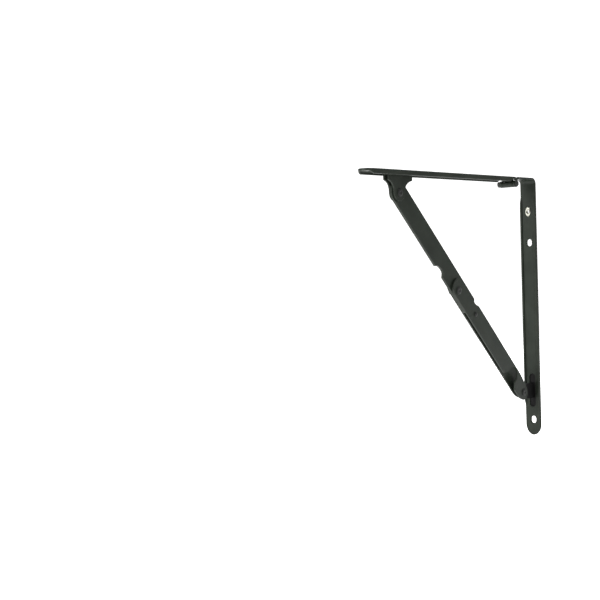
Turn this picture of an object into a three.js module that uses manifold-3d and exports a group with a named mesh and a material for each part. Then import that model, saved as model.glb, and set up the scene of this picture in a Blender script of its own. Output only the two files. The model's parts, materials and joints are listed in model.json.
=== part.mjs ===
// A folding support bracket: a wall leg, an arm that carries the board, and a two-link brace
// that breaks at a knee so the arm drops flat against the leg.
// Millimetres. X points out from the wall, Y runs across the strap, Z points up.
// The origin is on the flat back of the leg, on its centreline, at mid height.
import * as THREE from "three";
import { mergeVertices } from "three/addons/utils/BufferGeometryUtils.js";
import Module from "manifold-3d";

const wasm = await Module();
wasm.setup();

// ---- Driving dimensions ----
const LEG_LENGTH = 252;
const LEG_TOP = LEG_LENGTH / 2;
const LEG_BOTTOM = -LEG_LENGTH / 2;
const STRAP_WIDTH = 17;
const SHEET = 2;
const ARM_RIM = 4.6;
const LEG_RIM = 3.9;
const BEND_RADIUS = 6;
const GAP = 0.3;

const HINGE_X = 35.3;
const HINGE_DROP = 6.5;
const PIN_RADIUS = 1.5;
const KNUCKLE_RADIUS = 3.4;
const KNUCKLE_SPLIT = 5.5;

const ARM_REACH = 258;
const CLEVIS_OUT = 175.5;
const CLEVIS_DROP = 12.7;

const FOOT_OUT = HINGE_X - CLEVIS_DROP;
const FOOT_DROP = 208;
const KNEE_OUT = 2.3;

const LINK_SHEET = 2.4;
// The links reach further to the corner side of their pivots than to the open side.
const LINK_OUTER = 8.5;
const LINK_CORNER = 11.2;
const FLANGE_SHEET = 1.6;
const SIDE_PLAY = 0.35;
const PIVOT_HOLE_PLAY = 0.3;
const RIVET_RADIUS = 2.5;
const HEAD_RADIUS = 3.6;
const HEAD_HEIGHT = 0.9;

// ---- Places worked out from them (X, Z in the plane of the triangle) ----
const HINGE = new THREE.Vector2(HINGE_X, LEG_TOP - HINGE_DROP);
const CLEVIS = new THREE.Vector2(HINGE_X + CLEVIS_OUT, HINGE.y - CLEVIS_DROP);
const FOOT = new THREE.Vector2(FOOT_OUT, LEG_TOP - FOOT_DROP);
const FOLDED_CLEVIS = new THREE.Vector2(HINGE_X - CLEVIS_DROP, HINGE.y - CLEVIS_OUT);
const BRACE_LENGTH = CLEVIS.distanceTo(FOOT);
const FOLDED_SPAN = FOLDED_CLEVIS.distanceTo(FOOT);
// The knee lies off the line of the brace, where the two links differ by the folded span, so
// that they lie along each other when the arm is down.
const HALF_BRACE = BRACE_LENGTH / 2;
const HALF_SPAN = FOLDED_SPAN / 2;
const SPREAD = KNEE_OUT ** 2 / (HALF_BRACE ** 2 - HALF_SPAN ** 2);
const UPPER_LENGTH = HALF_BRACE - HALF_SPAN * Math.sqrt(1 + SPREAD);
const LOWER_LENGTH = BRACE_LENGTH - UPPER_LENGTH;
// The brace runs down and in, from the clevis to the foot.
const BRACE_ANGLE = Math.atan2(FOOT.y - CLEVIS.y, FOOT.x - CLEVIS.x);
const ELBOW = onBrace(CLEVIS, UPPER_LENGTH, 0);
const KNEE = onBrace(ELBOW, 0, -KNEE_OUT);

// Layers across the width: the upper link lies in the middle, flanges and cheeks outside it.
const INNER_FACE = LINK_SHEET / 2 + SIDE_PLAY;
const OUTER_FACE = INNER_FACE + FLANGE_SHEET;
// The far flange of the lower link runs outside the far cheek of the clevis.
const FAR_INNER_FACE = OUTER_FACE + SIDE_PLAY;
const FAR_OUTER_FACE = FAR_INNER_FACE + FLANGE_SHEET;

// ---- Small tools ----
const group = new THREE.Group();

function toSolid(geometry) {
  const bare = geometry.index ? geometry : geometry.clone();
  bare.deleteAttribute("normal");
  bare.deleteAttribute("uv");
  const merged = mergeVertices(bare, 1e-4);
  const vertProperties = new Float32Array(merged.attributes.position.array);
  const triVerts = new Uint32Array(merged.index.array);
  return new wasm.Manifold(new wasm.Mesh({ numProp: 3, vertProperties, triVerts }));
}

function toGeometry(solid) {
  const mesh = solid.getMesh();
  const geometry = new THREE.BufferGeometry();
  geometry.setAttribute("position", new THREE.BufferAttribute(mesh.vertProperties, 3));
  geometry.setIndex(new THREE.BufferAttribute(mesh.triVerts, 1));
  geometry.computeVertexNormals();
  return geometry;
}

const paint = () => new THREE.MeshStandardMaterial({ color: 0x2f312d, roughness: 0.45, metalness: 0.3 });
const darkSteel = () => new THREE.MeshStandardMaterial({ color: 0x26272a, roughness: 0.4, metalness: 0.7 });
const zinc = () => new THREE.MeshStandardMaterial({ color: 0xb9bab4, roughness: 0.35, metalness: 1 });

function addPart(name, solid, material) {
  const mesh = new THREE.Mesh(toGeometry(solid), material);
  mesh.name = name;
  group.add(mesh);
}

// A flat plate with an outline in X and Z, between two places across the width.
function sidePlate(outline, yLow, yHigh) {
  const geometry = new THREE.ExtrudeGeometry(outline, {
    depth: yHigh - yLow,
    bevelEnabled: false,
    curveSegments: 10,
  });
  geometry.rotateX(Math.PI / 2);
  geometry.translate(0, yHigh, 0);
  return toSolid(geometry);
}

// A flat plate with an outline in Y and Z, between two places out from the wall.
function frontPlate(outline, xLow, xHigh) {
  const geometry = new THREE.ExtrudeGeometry(outline, {
    depth: xHigh - xLow,
    bevelEnabled: false,
    curveSegments: 10,
  });
  geometry.rotateZ(Math.PI / 2);
  geometry.rotateY(Math.PI / 2);
  geometry.translate(xLow, 0, 0);
  return toSolid(geometry);
}

// A flat plate with an outline in X and Y, between two heights.
function levelPlate(outline, zLow, zHigh) {
  const geometry = new THREE.ExtrudeGeometry(outline, {
    depth: zHigh - zLow,
    bevelEnabled: false,
    curveSegments: 10,
  });
  geometry.translate(0, 0, zLow);
  return toSolid(geometry);
}

function polygon(points) {
  return new THREE.Shape(points.map(([a, b]) => new THREE.Vector2(a, b)));
}

function rectangle(xLow, xHigh, yLow, yHigh) {
  return polygon([[xLow, yLow], [xHigh, yLow], [xHigh, yHigh], [xLow, yHigh]]);
}

function disc(x, y, radius) {
  const shape = new THREE.Shape();
  shape.absarc(x, y, radius, 0, 2 * Math.PI);
  return shape;
}

// A slot with round ends, long in the second direction.
function obround(x, y, width, length) {
  const r = width / 2;
  const half = length / 2 - r;
  const shape = new THREE.Shape();
  shape.absarc(x, y + half, r, 0, Math.PI);
  shape.absarc(x, y - half, r, Math.PI, 2 * Math.PI);
  shape.closePath();
  return shape;
}

// A turned piece with its axis across the width; rows of the profile are [radius, place].
function turned(profile, x, z, segments = 24) {
  const rows = profile.map(([r, y]) => new THREE.Vector2(r, y));
  const geometry = new THREE.LatheGeometry(rows, segments);
  geometry.translate(x, 0, z);
  return toSolid(geometry);
}

// A turned piece with its axis pointing out from the wall; stretch makes it oval in height.
function turnedOut(profile, y, z, stretch = 1, segments = 24) {
  const rows = profile.map(([r, x]) => new THREE.Vector2(r, x));
  const geometry = new THREE.LatheGeometry(rows, segments);
  geometry.rotateZ(-Math.PI / 2);
  geometry.scale(1, 1, stretch);
  geometry.translate(0, y, z);
  return toSolid(geometry);
}

// A turned piece with its axis upright.
function turnedUp(profile, x, y, segments = 24) {
  const rows = profile.map(([r, z]) => new THREE.Vector2(r, z));
  const geometry = new THREE.LatheGeometry(rows, segments);
  geometry.rotateX(Math.PI / 2);
  geometry.translate(x, y, 0);
  return toSolid(geometry);
}

// A through cut for a pivot rivet, with play round its shank.
function pivotBore(place) {
  return sidePlate(disc(place.x, place.y, RIVET_RADIUS + PIVOT_HOLE_PLAY), -STRAP_WIDTH, STRAP_WIDTH);
}

// A through cut for the hinge pin.
function pinBore() {
  return sidePlate(disc(HINGE.x, HINGE.y, PIN_RADIUS + GAP), -STRAP_WIDTH, STRAP_WIDTH);
}

// Places on the brace: s runs along it from a pivot towards the foot, n points to the corner.
function onBrace(pivot, s, n) {
  const along = new THREE.Vector2(Math.cos(BRACE_ANGLE), Math.sin(BRACE_ANGLE));
  const corner = new THREE.Vector2(along.y, -along.x);
  return pivot.clone().addScaledVector(along, s).addScaledVector(corner, n);
}

// ---- Wall leg ----
const TONGUE = 27;
const TONGUE_TIP = 11;
const RIM_START = 17;
const RIM_RAMP = 9;
const FLANGE_END = HINGE_X - KNUCKLE_RADIUS - 1.2;
const SCREW_SLOT = [5.2, 7];
const COUNTERSINK = 1;
const SCREW_DROPS = [63, 237];
const EYELET_DROP = 32.5;
const EYELET_HOLE = 4.4;
const EYELET_STRETCH = 1.6;
const LUG_SLOT = [6.6, 33];

function bentStrip() {
  const shape = new THREE.Shape();
  const inner = BEND_RADIUS - SHEET;
  shape.moveTo(0, LEG_BOTTOM);
  shape.lineTo(SHEET, LEG_BOTTOM);
  shape.lineTo(SHEET, LEG_TOP - BEND_RADIUS);
  shape.absarc(BEND_RADIUS, LEG_TOP - BEND_RADIUS, inner, Math.PI, Math.PI / 2, true);
  shape.lineTo(FLANGE_END, LEG_TOP - SHEET);
  shape.lineTo(FLANGE_END, LEG_TOP);
  shape.lineTo(BEND_RADIUS, LEG_TOP);
  shape.absarc(BEND_RADIUS, LEG_TOP - BEND_RADIUS, BEND_RADIUS, Math.PI / 2, Math.PI, false);
  shape.closePath();
  return sidePlate(shape, -STRAP_WIDTH / 2, STRAP_WIDTH / 2);
}

// The lower end seen from the front: straight sides down to an elliptical tip.
function tongueMask() {
  const half = STRAP_WIDTH / 2;
  const shape = new THREE.Shape();
  shape.moveTo(half, LEG_TOP + 1);
  shape.lineTo(-half, LEG_TOP + 1);
  shape.lineTo(-half, LEG_BOTTOM + TONGUE_TIP);
  shape.absellipse(0, LEG_BOTTOM + TONGUE_TIP, half, TONGUE_TIP, Math.PI, 2 * Math.PI);
  shape.closePath();
  return frontPlate(shape, -1, HINGE_X);
}

function legRim(side) {
  const shape = polygon([
    [0.5, LEG_BOTTOM + TONGUE],
    [SHEET, LEG_BOTTOM + TONGUE],
    [LEG_RIM, LEG_BOTTOM + TONGUE + RIM_RAMP],
    [LEG_RIM, LEG_TOP - RIM_START - RIM_RAMP],
    [SHEET, LEG_TOP - RIM_START],
    [0.5, LEG_TOP - RIM_START],
  ]);
  const outer = STRAP_WIDTH / 2;
  const inner = outer - SHEET;
  return side > 0 ? sidePlate(shape, inner, outer) : sidePlate(shape, -outer, -inner);
}

// Two end knuckles turned down from the flange and closed round the pin.
function legKnuckle(side) {
  const outer = STRAP_WIDTH / 2;
  const inner = KNUCKLE_SPLIT + GAP;
  const low = side > 0 ? inner : -outer;
  const high = side > 0 ? outer : -inner;
  const ring = sidePlate(disc(HINGE.x, HINGE.y, KNUCKLE_RADIUS), low, high);
  const tab = polygon([
    [FLANGE_END - 1, LEG_TOP - SHEET],
    [FLANGE_END - 1, LEG_TOP],
    [FLANGE_END, LEG_TOP],
    [HINGE.x - KNUCKLE_RADIUS + 0.6, LEG_TOP - 1.2],
    [HINGE.x - 0.2, HINGE.y + KNUCKLE_RADIUS - 0.1],
    [HINGE.x - KNUCKLE_RADIUS + 0.1, HINGE.y],
    [HINGE.x - KNUCKLE_RADIUS - 0.6, LEG_TOP - SHEET],
  ]);
  return ring.add(sidePlate(tab, low, high));
}

function makeWallLeg() {
  let leg = bentStrip();
  for (const side of [-1, 1]) {
    leg = leg.add(legRim(side));
  }
  leg = leg.intersect(tongueMask());
  for (const side of [-1, 1]) {
    leg = leg.add(legKnuckle(side));
  }
  leg = leg.subtract(pinBore());
  const [slotWidth, slotLength] = SCREW_SLOT;
  for (const drop of SCREW_DROPS) {
    const z = LEG_TOP - drop;
    leg = leg.subtract(frontPlate(obround(0, z, slotWidth, slotLength), -1, SHEET + 1));
    const sink = obround(0, z, slotWidth + 2 * COUNTERSINK, slotLength + 2 * COUNTERSINK);
    leg = leg.subtract(frontPlate(sink, SHEET - COUNTERSINK, SHEET + 1));
  }
  const eyelet = new THREE.Shape();
  const bore = EYELET_HOLE / 2;
  eyelet.absellipse(0, LEG_TOP - EYELET_DROP, bore, bore * EYELET_STRETCH, 0, 2 * Math.PI);
  leg = leg.subtract(frontPlate(eyelet, -1, SHEET + 1));
  const [lugWidth, lugLength] = LUG_SLOT;
  leg = leg.subtract(frontPlate(obround(0, FOOT.y, lugWidth, lugLength), -1, SHEET + 1));
  addPart("wall_leg", leg, paint());
}

// A rolled zinc eyelet that lines the upper screw hole.
function makeEyelet() {
  const bore = 1.1;
  const sleeve = EYELET_HOLE / 2 - GAP;
  const lip = 2.9;
  const face = SHEET + GAP;
  const profile = [
    [bore, 0.2],
    [sleeve, 0.2],
    [sleeve, face],
    [lip, face],
    [lip, face + 0.5],
    [lip - 0.9, face + 0.9],
    [bore + 0.4, face + 0.6],
    [bore, face],
    [bore, 0.2],
  ];
  addPart("leg_eyelet", turnedOut(profile, 0, LEG_TOP - EYELET_DROP, EYELET_STRETCH), zinc());
}

// ---- Shelf arm ----
const ARM_START = HINGE_X - KNUCKLE_RADIUS + 0.4;
const ARM_RIM_START = HINGE_X + 4.2;
const ARM_RIM_END = ARM_REACH - 3;
const ARM_RAMP = 5;
const ARM_TIP = 9;
const BOARD_SLOT = [5.4, 9];
const BOARD_HOLES = [66, 120, 168, 243];

function makeShelfArm() {
  const half = STRAP_WIDTH / 2;
  const top = new THREE.Shape();
  top.moveTo(ARM_START, -half);
  top.lineTo(ARM_REACH - ARM_TIP, -half);
  top.absellipse(ARM_REACH - ARM_TIP, 0, ARM_TIP, half, -Math.PI / 2, Math.PI / 2);
  top.lineTo(ARM_START, half);
  top.closePath();
  let arm = levelPlate(top, LEG_TOP - SHEET, LEG_TOP);
  const rim = polygon([
    [ARM_RIM_START, LEG_TOP - 0.5],
    [ARM_RIM_START, LEG_TOP - SHEET],
    [ARM_RIM_START + ARM_RAMP, LEG_TOP - ARM_RIM],
    [ARM_RIM_END - ARM_RAMP, LEG_TOP - ARM_RIM],
    [ARM_RIM_END, LEG_TOP - SHEET],
    [ARM_RIM_END, LEG_TOP - 0.5],
  ]);
  const tipMask = levelPlate(top, LEG_TOP - 2 * ARM_RIM, LEG_TOP);
  for (const low of [-half, half - SHEET]) {
    arm = arm.add(sidePlate(rim, low, low + SHEET).intersect(tipMask));
  }
  const knuckle = sidePlate(disc(HINGE.x, HINGE.y, KNUCKLE_RADIUS), -KNUCKLE_SPLIT, KNUCKLE_SPLIT);
  const neck = polygon([
    [HINGE.x - 0.5, HINGE.y],
    [HINGE.x + KNUCKLE_RADIUS, HINGE.y],
    [HINGE.x + KNUCKLE_RADIUS + 0.8, LEG_TOP - SHEET + 0.2],
    [HINGE.x - 0.5, LEG_TOP - SHEET + 0.2],
  ]);
  arm = arm.add(knuckle).add(sidePlate(neck, -KNUCKLE_SPLIT, KNUCKLE_SPLIT));
  arm = arm.subtract(pinBore());
  // The corners of the sheet are cut away over the leg's two knuckles.
  const corner = rectangle(ARM_START - 1, HINGE.x + 0.6, HINGE.y, LEG_TOP + 1);
  arm = arm.subtract(sidePlate(corner, KNUCKLE_SPLIT, STRAP_WIDTH));
  arm = arm.subtract(sidePlate(corner, -STRAP_WIDTH, -KNUCKLE_SPLIT));
  const [slotWidth, slotLength] = BOARD_SLOT;
  for (const x of BOARD_HOLES) {
    const slot = obround(0, 0, slotWidth, slotLength);
    const cut = new THREE.Shape(slot.getPoints(8).map((p) => new THREE.Vector2(x + p.y, p.x)));
    arm = arm.subtract(levelPlate(cut, LEG_TOP - SHEET - 1, LEG_TOP + 1));
  }
  for (const x of CLEVIS_RIVETS) {
    arm = arm.subtract(levelPlate(disc(x, 0, FIX_RADIUS + GAP), LEG_TOP - SHEET - 1, LEG_TOP + 1));
  }
  addPart("shelf_arm", arm, paint());
}

// ---- Hinge pin, headed at the near end and upset longer at the far one ----
function makeHingePin() {
  const end = STRAP_WIDTH / 2 + GAP;
  const head = 3;
  const tail = 3;
  const profile = [
    [0, -end - tail],
    [head - 0.5, -end - tail],
    [head, -end - tail + 0.6],
    [head, -end],
    [PIN_RADIUS, -end],
    [PIN_RADIUS, end],
    [head, end],
    [head, end + 0.4],
    [head - 0.5, end + 1],
    [0, end + 1],
  ];
  addPart("hinge_pin", turned(profile, HINGE.x, HINGE.y), darkSteel());
}

// ---- Clevis under the arm ----
// How far the clevis reaches from its pivot, towards the hinge and towards the tip.
const CLEVIS_IN = 18.2;
const CLEVIS_AHEAD = 14.8;
const CLEVIS_NECK = 7.4;
const CLEVIS_SHOULDER = 6.6;
const FIX_RADIUS = 1.6;
const FIX_SHANK = 0.9;
const CLEVIS_RIVETS = [CLEVIS.x - 13.5, CLEVIS.x + 12];

// A cheek of the clevis, seen from the side: wide at the arm, hollowed in to a round end.
function cheekOutline(topZ) {
  const low = CLEVIS.x - CLEVIS_IN;
  const high = CLEVIS.x + CLEVIS_AHEAD;
  const shoulder = topZ - CLEVIS_SHOULDER;
  const shape = new THREE.Shape();
  shape.moveTo(low, topZ);
  shape.lineTo(low, shoulder);
  shape.quadraticCurveTo(CLEVIS.x - CLEVIS_NECK, shoulder - 2, CLEVIS.x - CLEVIS_NECK, CLEVIS.y);
  shape.absarc(CLEVIS.x, CLEVIS.y, CLEVIS_NECK, Math.PI, 2 * Math.PI);
  shape.quadraticCurveTo(CLEVIS.x + CLEVIS_NECK, shoulder - 2, high, shoulder);
  shape.lineTo(high, topZ);
  shape.closePath();
  return shape;
}

function makeClevis() {
  const topZ = LEG_TOP - SHEET - GAP;
  const outline = cheekOutline(topZ);
  const base = rectangle(CLEVIS.x - CLEVIS_IN, CLEVIS.x + CLEVIS_AHEAD, topZ - FLANGE_SHEET, topZ);
  let clevis = sidePlate(outline, INNER_FACE, OUTER_FACE);
  clevis = clevis.add(sidePlate(outline, -OUTER_FACE, -INNER_FACE));
  clevis = clevis.add(sidePlate(base, -OUTER_FACE, OUTER_FACE));
  clevis = clevis.subtract(pivotBore(CLEVIS));
  for (const x of CLEVIS_RIVETS) {
    clevis = clevis.subtract(levelPlate(disc(x, 0, FIX_SHANK + GAP), topZ - 3, topZ + 1));
  }
  addPart("arm_clevis", clevis, paint());
}

// Flush rivets that hold the clevis to the arm, upset under its base.
function makeClevisRivets() {
  const under = LEG_TOP - SHEET - GAP - FLANGE_SHEET - GAP;
  CLEVIS_RIVETS.forEach((x, index) => {
    const profile = [
      [0, under - 0.6],
      [1.1, under - 0.6],
      [1.1, under],
      [FIX_SHANK, under],
      [FIX_SHANK, LEG_TOP - SHEET],
      [FIX_RADIUS, LEG_TOP - SHEET + 0.2],
      [FIX_RADIUS, LEG_TOP - 0.1],
      [0, LEG_TOP - 0.1],
    ];
    addPart(`clevis_rivet_${index + 1}`, turnedUp(profile, x, 0), darkSteel());
  });
}

// ---- Pivot rivets ----
// A rivet across the width, with a dimpled head at the near end and a low head at the far one.
function rivetProfile(nearFace, farFace, shank) {
  return [
    [0, farFace - 0.9],
    [HEAD_RADIUS - 1, farFace - 0.9],
    [HEAD_RADIUS, farFace - 0.3],
    [HEAD_RADIUS, farFace],
    [shank, farFace],
    [shank, nearFace],
    [HEAD_RADIUS, nearFace],
    [HEAD_RADIUS, nearFace + 0.3],
    [HEAD_RADIUS - 1, nearFace + HEAD_HEIGHT],
    [1.2, nearFace + HEAD_HEIGHT],
    [0.5, nearFace + 0.5],
    [0, nearFace + 0.5],
  ];
}

// Its far end is flush with the cheek, so that the lower link's far flange passes outside it.
function makeClevisPivotRivet() {
  const profile = rivetProfile(OUTER_FACE + GAP, 0, RIVET_RADIUS).filter(([, y]) => y > 0);
  profile.unshift([0, -OUTER_FACE], [RIVET_RADIUS, -OUTER_FACE]);
  addPart("clevis_pivot_rivet", turned(profile, CLEVIS.x, CLEVIS.y), darkSteel());
}

// ---- Upper link ----
const TAIL = 27;
const TAIL_CORNER = 1.8;
const NOTCH_FROM = 39;
const NOTCH_TO = 23;
const NOTCH_DEPTH = 4.4;

function makeUpperLink() {
  const open = -LINK_OUTER;
  const at = (s, n) => onBrace(ELBOW, s, n);
  const line = (shape, s, n) => {
    const p = at(s, n);
    shape.lineTo(p.x, p.y);
  };
  const shape = new THREE.Shape();
  const start = at(-UPPER_LENGTH, LINK_CORNER);
  shape.moveTo(start.x, start.y);
  line(shape, TAIL - TAIL_CORNER, LINK_CORNER);
  line(shape, TAIL, LINK_CORNER - TAIL_CORNER);
  line(shape, TAIL, open + 4);
  line(shape, TAIL - 4, open);
  line(shape, -NOTCH_TO, open);
  line(shape, -NOTCH_TO - 2.5, open + NOTCH_DEPTH - 0.8);
  const bottom = at(-NOTCH_TO - 5, open + NOTCH_DEPTH);
  const lip = at(-NOTCH_FROM + 1.5, open + 1.5);
  const bow = at(-NOTCH_FROM + 5, open + NOTCH_DEPTH + 0.6);
  shape.lineTo(bottom.x, bottom.y);
  shape.quadraticCurveTo(bow.x, bow.y, lip.x, lip.y);
  line(shape, -NOTCH_FROM, open);
  line(shape, -UPPER_LENGTH, open);
  const middle = at(-UPPER_LENGTH, (LINK_CORNER + open) / 2);
  const edge = at(-UPPER_LENGTH, open);
  const turn = Math.atan2(edge.y - middle.y, edge.x - middle.x);
  shape.absarc(middle.x, middle.y, (LINK_CORNER - open) / 2, turn, turn + Math.PI, false);
  shape.closePath();
  let link = sidePlate(shape, -LINK_SHEET / 2, LINK_SHEET / 2);
  link = link.subtract(pivotBore(CLEVIS)).subtract(pivotBore(KNEE));
  addPart("upper_link", link, paint());
}

// ---- Lower link: an open channel, its web on the corner side ----
const WEB_START = 54;
const WEB_END = 56;
const NEAR_EDGE = 8.8;
const FAR_EDGE = 5.9;
// The far flange stands higher on the corner side, which closes the view through the bite.
const FAR_RISE = 4.2;
const HEAD_ROUND = 10;
const CHANNEL_BACK = 9.1;
const BACK_START = 29;
const BACK_END = 17;
const RECESS_RADIUS = CLEVIS_NECK + 0.6;
const DETENT_FROM_KNEE = 34.5;
const DETENT_RADIUS = 1.5;

function flangeOutline(outerEdge, rise) {
  const shape = new THREE.Shape();
  const at = (s, n) => onBrace(ELBOW, s, n);
  const line = (s, n) => {
    const p = at(s, n);
    shape.lineTo(p.x, p.y);
  };
  const first = at(0, -outerEdge);
  shape.moveTo(first.x, first.y);
  line(LOWER_LENGTH - 3, -outerEdge);
  line(LOWER_LENGTH + 4.5, -outerEdge + 2.2);
  line(LOWER_LENGTH + 7, -outerEdge + 6);
  line(LOWER_LENGTH + 7, 3);
  line(LOWER_LENGTH + 2, CHANNEL_BACK - 2.5);
  line(LOWER_LENGTH - BACK_END, CHANNEL_BACK + rise);
  line(LOWER_LENGTH - WEB_END, CHANNEL_BACK + rise);
  line(LOWER_LENGTH - WEB_END - 2 * rise, CHANNEL_BACK);
  line(BACK_START + 4, CHANNEL_BACK);
  line(BACK_START, CHANNEL_BACK - 2.2);
  const corner = at(0, CHANNEL_BACK - 1.4);
  shape.lineTo(corner.x, corner.y);
  const top = at(-HEAD_ROUND, CHANNEL_BACK - 1.4);
  const crown = at(-HEAD_ROUND, 0);
  const low = at(-HEAD_ROUND, -outerEdge);
  shape.quadraticCurveTo(top.x, top.y, crown.x, crown.y);
  shape.quadraticCurveTo(low.x, low.y, first.x, first.y);
  shape.closePath();
  return shape;
}

// The bite out of the near flange where the end of the clevis comes to lie when folded.
function recessOutline() {
  const shape = new THREE.Shape();
  const centre = FOOT.clone().lerp(KNEE, FOLDED_SPAN / FOOT.distanceTo(KNEE));
  const at = (s, n) => onBrace(centre, s, n);
  const start = at(-RECESS_RADIUS, 0);
  const turn = Math.atan2(start.y - centre.y, start.x - centre.x);
  shape.absarc(centre.x, centre.y, RECESS_RADIUS, turn, turn + Math.PI, false);
  const flare = RECESS_RADIUS + 6;
  const edge = -NEAR_EDGE - 1;
  const points = [at(RECESS_RADIUS, -3), at(flare, edge), at(-flare, edge), at(-RECESS_RADIUS, -3)];
  for (const point of points) {
    shape.lineTo(point.x, point.y);
  }
  shape.closePath();
  return shape;
}

function makeLowerLink() {
  const near = flangeOutline(NEAR_EDGE, 0);
  const far = flangeOutline(FAR_EDGE, FAR_RISE);
  const corners = [
    onBrace(ELBOW, WEB_START, CHANNEL_BACK - FLANGE_SHEET),
    onBrace(ELBOW, LOWER_LENGTH - WEB_END, CHANNEL_BACK - FLANGE_SHEET),
    onBrace(ELBOW, LOWER_LENGTH - WEB_END, CHANNEL_BACK),
    onBrace(ELBOW, WEB_START, CHANNEL_BACK),
  ];
  let link = sidePlate(near, INNER_FACE, OUTER_FACE);
  link = link.subtract(sidePlate(recessOutline(), 0, OUTER_FACE + 1));
  link = link.add(sidePlate(far, -FAR_OUTER_FACE, -FAR_INNER_FACE));
  link = link.add(sidePlate(new THREE.Shape(corners), -FAR_OUTER_FACE, OUTER_FACE));
  link = link.subtract(pivotBore(KNEE)).subtract(pivotBore(FOOT));
  const button = onBrace(ELBOW, DETENT_FROM_KNEE, 0);
  link = link.subtract(sidePlate(disc(button.x, button.y, DETENT_RADIUS + GAP), 0, STRAP_WIDTH));
  addPart("lower_link", link, paint());
}

// The knee rivet: a headed stub in each flange of the lower link.
function makeKneeRivets() {
  const near = [
    [0, INNER_FACE + 0.1],
    [RIVET_RADIUS, INNER_FACE + 0.1],
    [RIVET_RADIUS, OUTER_FACE + GAP],
    [HEAD_RADIUS, OUTER_FACE + GAP],
    [HEAD_RADIUS, OUTER_FACE + GAP + 0.3],
    [HEAD_RADIUS - 1, OUTER_FACE + GAP + HEAD_HEIGHT],
    [1.2, OUTER_FACE + GAP + HEAD_HEIGHT],
    [0.5, OUTER_FACE + GAP + 0.5],
    [0, OUTER_FACE + GAP + 0.5],
  ];
  const farHead = -FAR_OUTER_FACE - GAP;
  const far = [
    [0, farHead - 1],
    [HEAD_RADIUS - 1, farHead - 1],
    [HEAD_RADIUS, farHead - 0.3],
    [HEAD_RADIUS, farHead],
    [RIVET_RADIUS, farHead],
    [RIVET_RADIUS, -FAR_INNER_FACE - 0.1],
    [0, -FAR_INNER_FACE - 0.1],
  ];
  addPart("knee_rivet_near", turned(near, KNEE.x, KNEE.y), darkSteel());
  addPart("knee_rivet_far", turned(far, KNEE.x, KNEE.y), darkSteel());
}

// A button set in the near flange, between the knee and the recess.
function makeDetentButton() {
  const place = onBrace(ELBOW, DETENT_FROM_KNEE, 0);
  const profile = [
    [0, INNER_FACE + 0.1],
    [DETENT_RADIUS, INNER_FACE + 0.1],
    [DETENT_RADIUS, OUTER_FACE + 0.2],
    [2.3, OUTER_FACE + 0.2],
    [2.1, OUTER_FACE + 0.7],
    [1.2, OUTER_FACE + 1.1],
    [0, OUTER_FACE + 1.2],
  ];
  addPart("detent_button", turned(profile, place.x, place.y, 20), darkSteel());
}

// ---- Foot lug: a tab that stands out of the slot in the leg ----
const LUG_ROUND = 6.5;
const LUG_TAB = 7.5;

function makeFootLug() {
  const shape = new THREE.Shape();
  shape.moveTo(0.2, FOOT.y - LUG_TAB);
  shape.lineTo(3, FOOT.y - LUG_TAB);
  shape.quadraticCurveTo(9, FOOT.y - LUG_ROUND - 1, FOOT.x, FOOT.y - LUG_ROUND);
  shape.absarc(FOOT.x, FOOT.y, LUG_ROUND, -Math.PI / 2, Math.PI / 2);
  shape.quadraticCurveTo(9, FOOT.y + LUG_ROUND + 1, 3, FOOT.y + LUG_TAB);
  shape.lineTo(0.2, FOOT.y + LUG_TAB);
  shape.closePath();
  let lug = sidePlate(shape, -LINK_SHEET / 2, LINK_SHEET / 2);
  const [slotWidth, slotLength] = LUG_SLOT;
  const pad = obround(0, FOOT.y, slotWidth - 2 * GAP, slotLength - 2 * GAP);
  lug = lug.add(frontPlate(pad, 0.2, 1));
  lug = lug.subtract(pivotBore(FOOT));
  addPart("foot_lug", lug, paint());
}

function makeFootPivotRivet() {
  const profile = rivetProfile(OUTER_FACE + GAP, -FAR_OUTER_FACE - GAP, RIVET_RADIUS);
  addPart("foot_pivot_rivet", turned(profile, FOOT.x, FOOT.y), darkSteel());
}

makeWallLeg();
makeEyelet();
makeShelfArm();
makeHingePin();
makeClevis();
makeClevisRivets();
makeClevisPivotRivet();
makeUpperLink();
makeLowerLink();
makeKneeRivets();
makeDetentButton();
makeFootLug();
makeFootPivotRivet();

export default group;
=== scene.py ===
"""A folding support bracket of pressed strap steel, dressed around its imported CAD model.

Metres, in the CAD frame: +X out from the wall, +Y across the strap, +Z up. Each painted piece is
rebuilt here as formed sheet metal, with rolled bends, rounded edges and countersunk holes, to the
sizes of the CAD solid that it stands for.
"""
import json
import math

import bpy
import bmesh
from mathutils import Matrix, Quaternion, Vector


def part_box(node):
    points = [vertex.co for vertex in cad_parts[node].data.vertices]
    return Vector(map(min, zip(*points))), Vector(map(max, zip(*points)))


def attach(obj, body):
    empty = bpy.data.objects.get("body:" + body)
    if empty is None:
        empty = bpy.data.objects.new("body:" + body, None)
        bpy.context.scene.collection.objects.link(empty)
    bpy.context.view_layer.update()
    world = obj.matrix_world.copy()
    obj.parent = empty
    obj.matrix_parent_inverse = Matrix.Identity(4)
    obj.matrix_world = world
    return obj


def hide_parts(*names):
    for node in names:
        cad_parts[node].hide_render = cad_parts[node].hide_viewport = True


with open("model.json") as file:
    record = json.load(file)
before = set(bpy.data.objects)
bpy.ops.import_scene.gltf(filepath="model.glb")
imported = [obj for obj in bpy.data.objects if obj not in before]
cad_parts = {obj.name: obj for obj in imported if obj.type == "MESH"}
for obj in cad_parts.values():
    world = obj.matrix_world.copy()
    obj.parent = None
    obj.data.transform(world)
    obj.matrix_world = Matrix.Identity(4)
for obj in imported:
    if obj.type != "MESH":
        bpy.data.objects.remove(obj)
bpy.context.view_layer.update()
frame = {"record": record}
MM = 0.001

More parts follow.
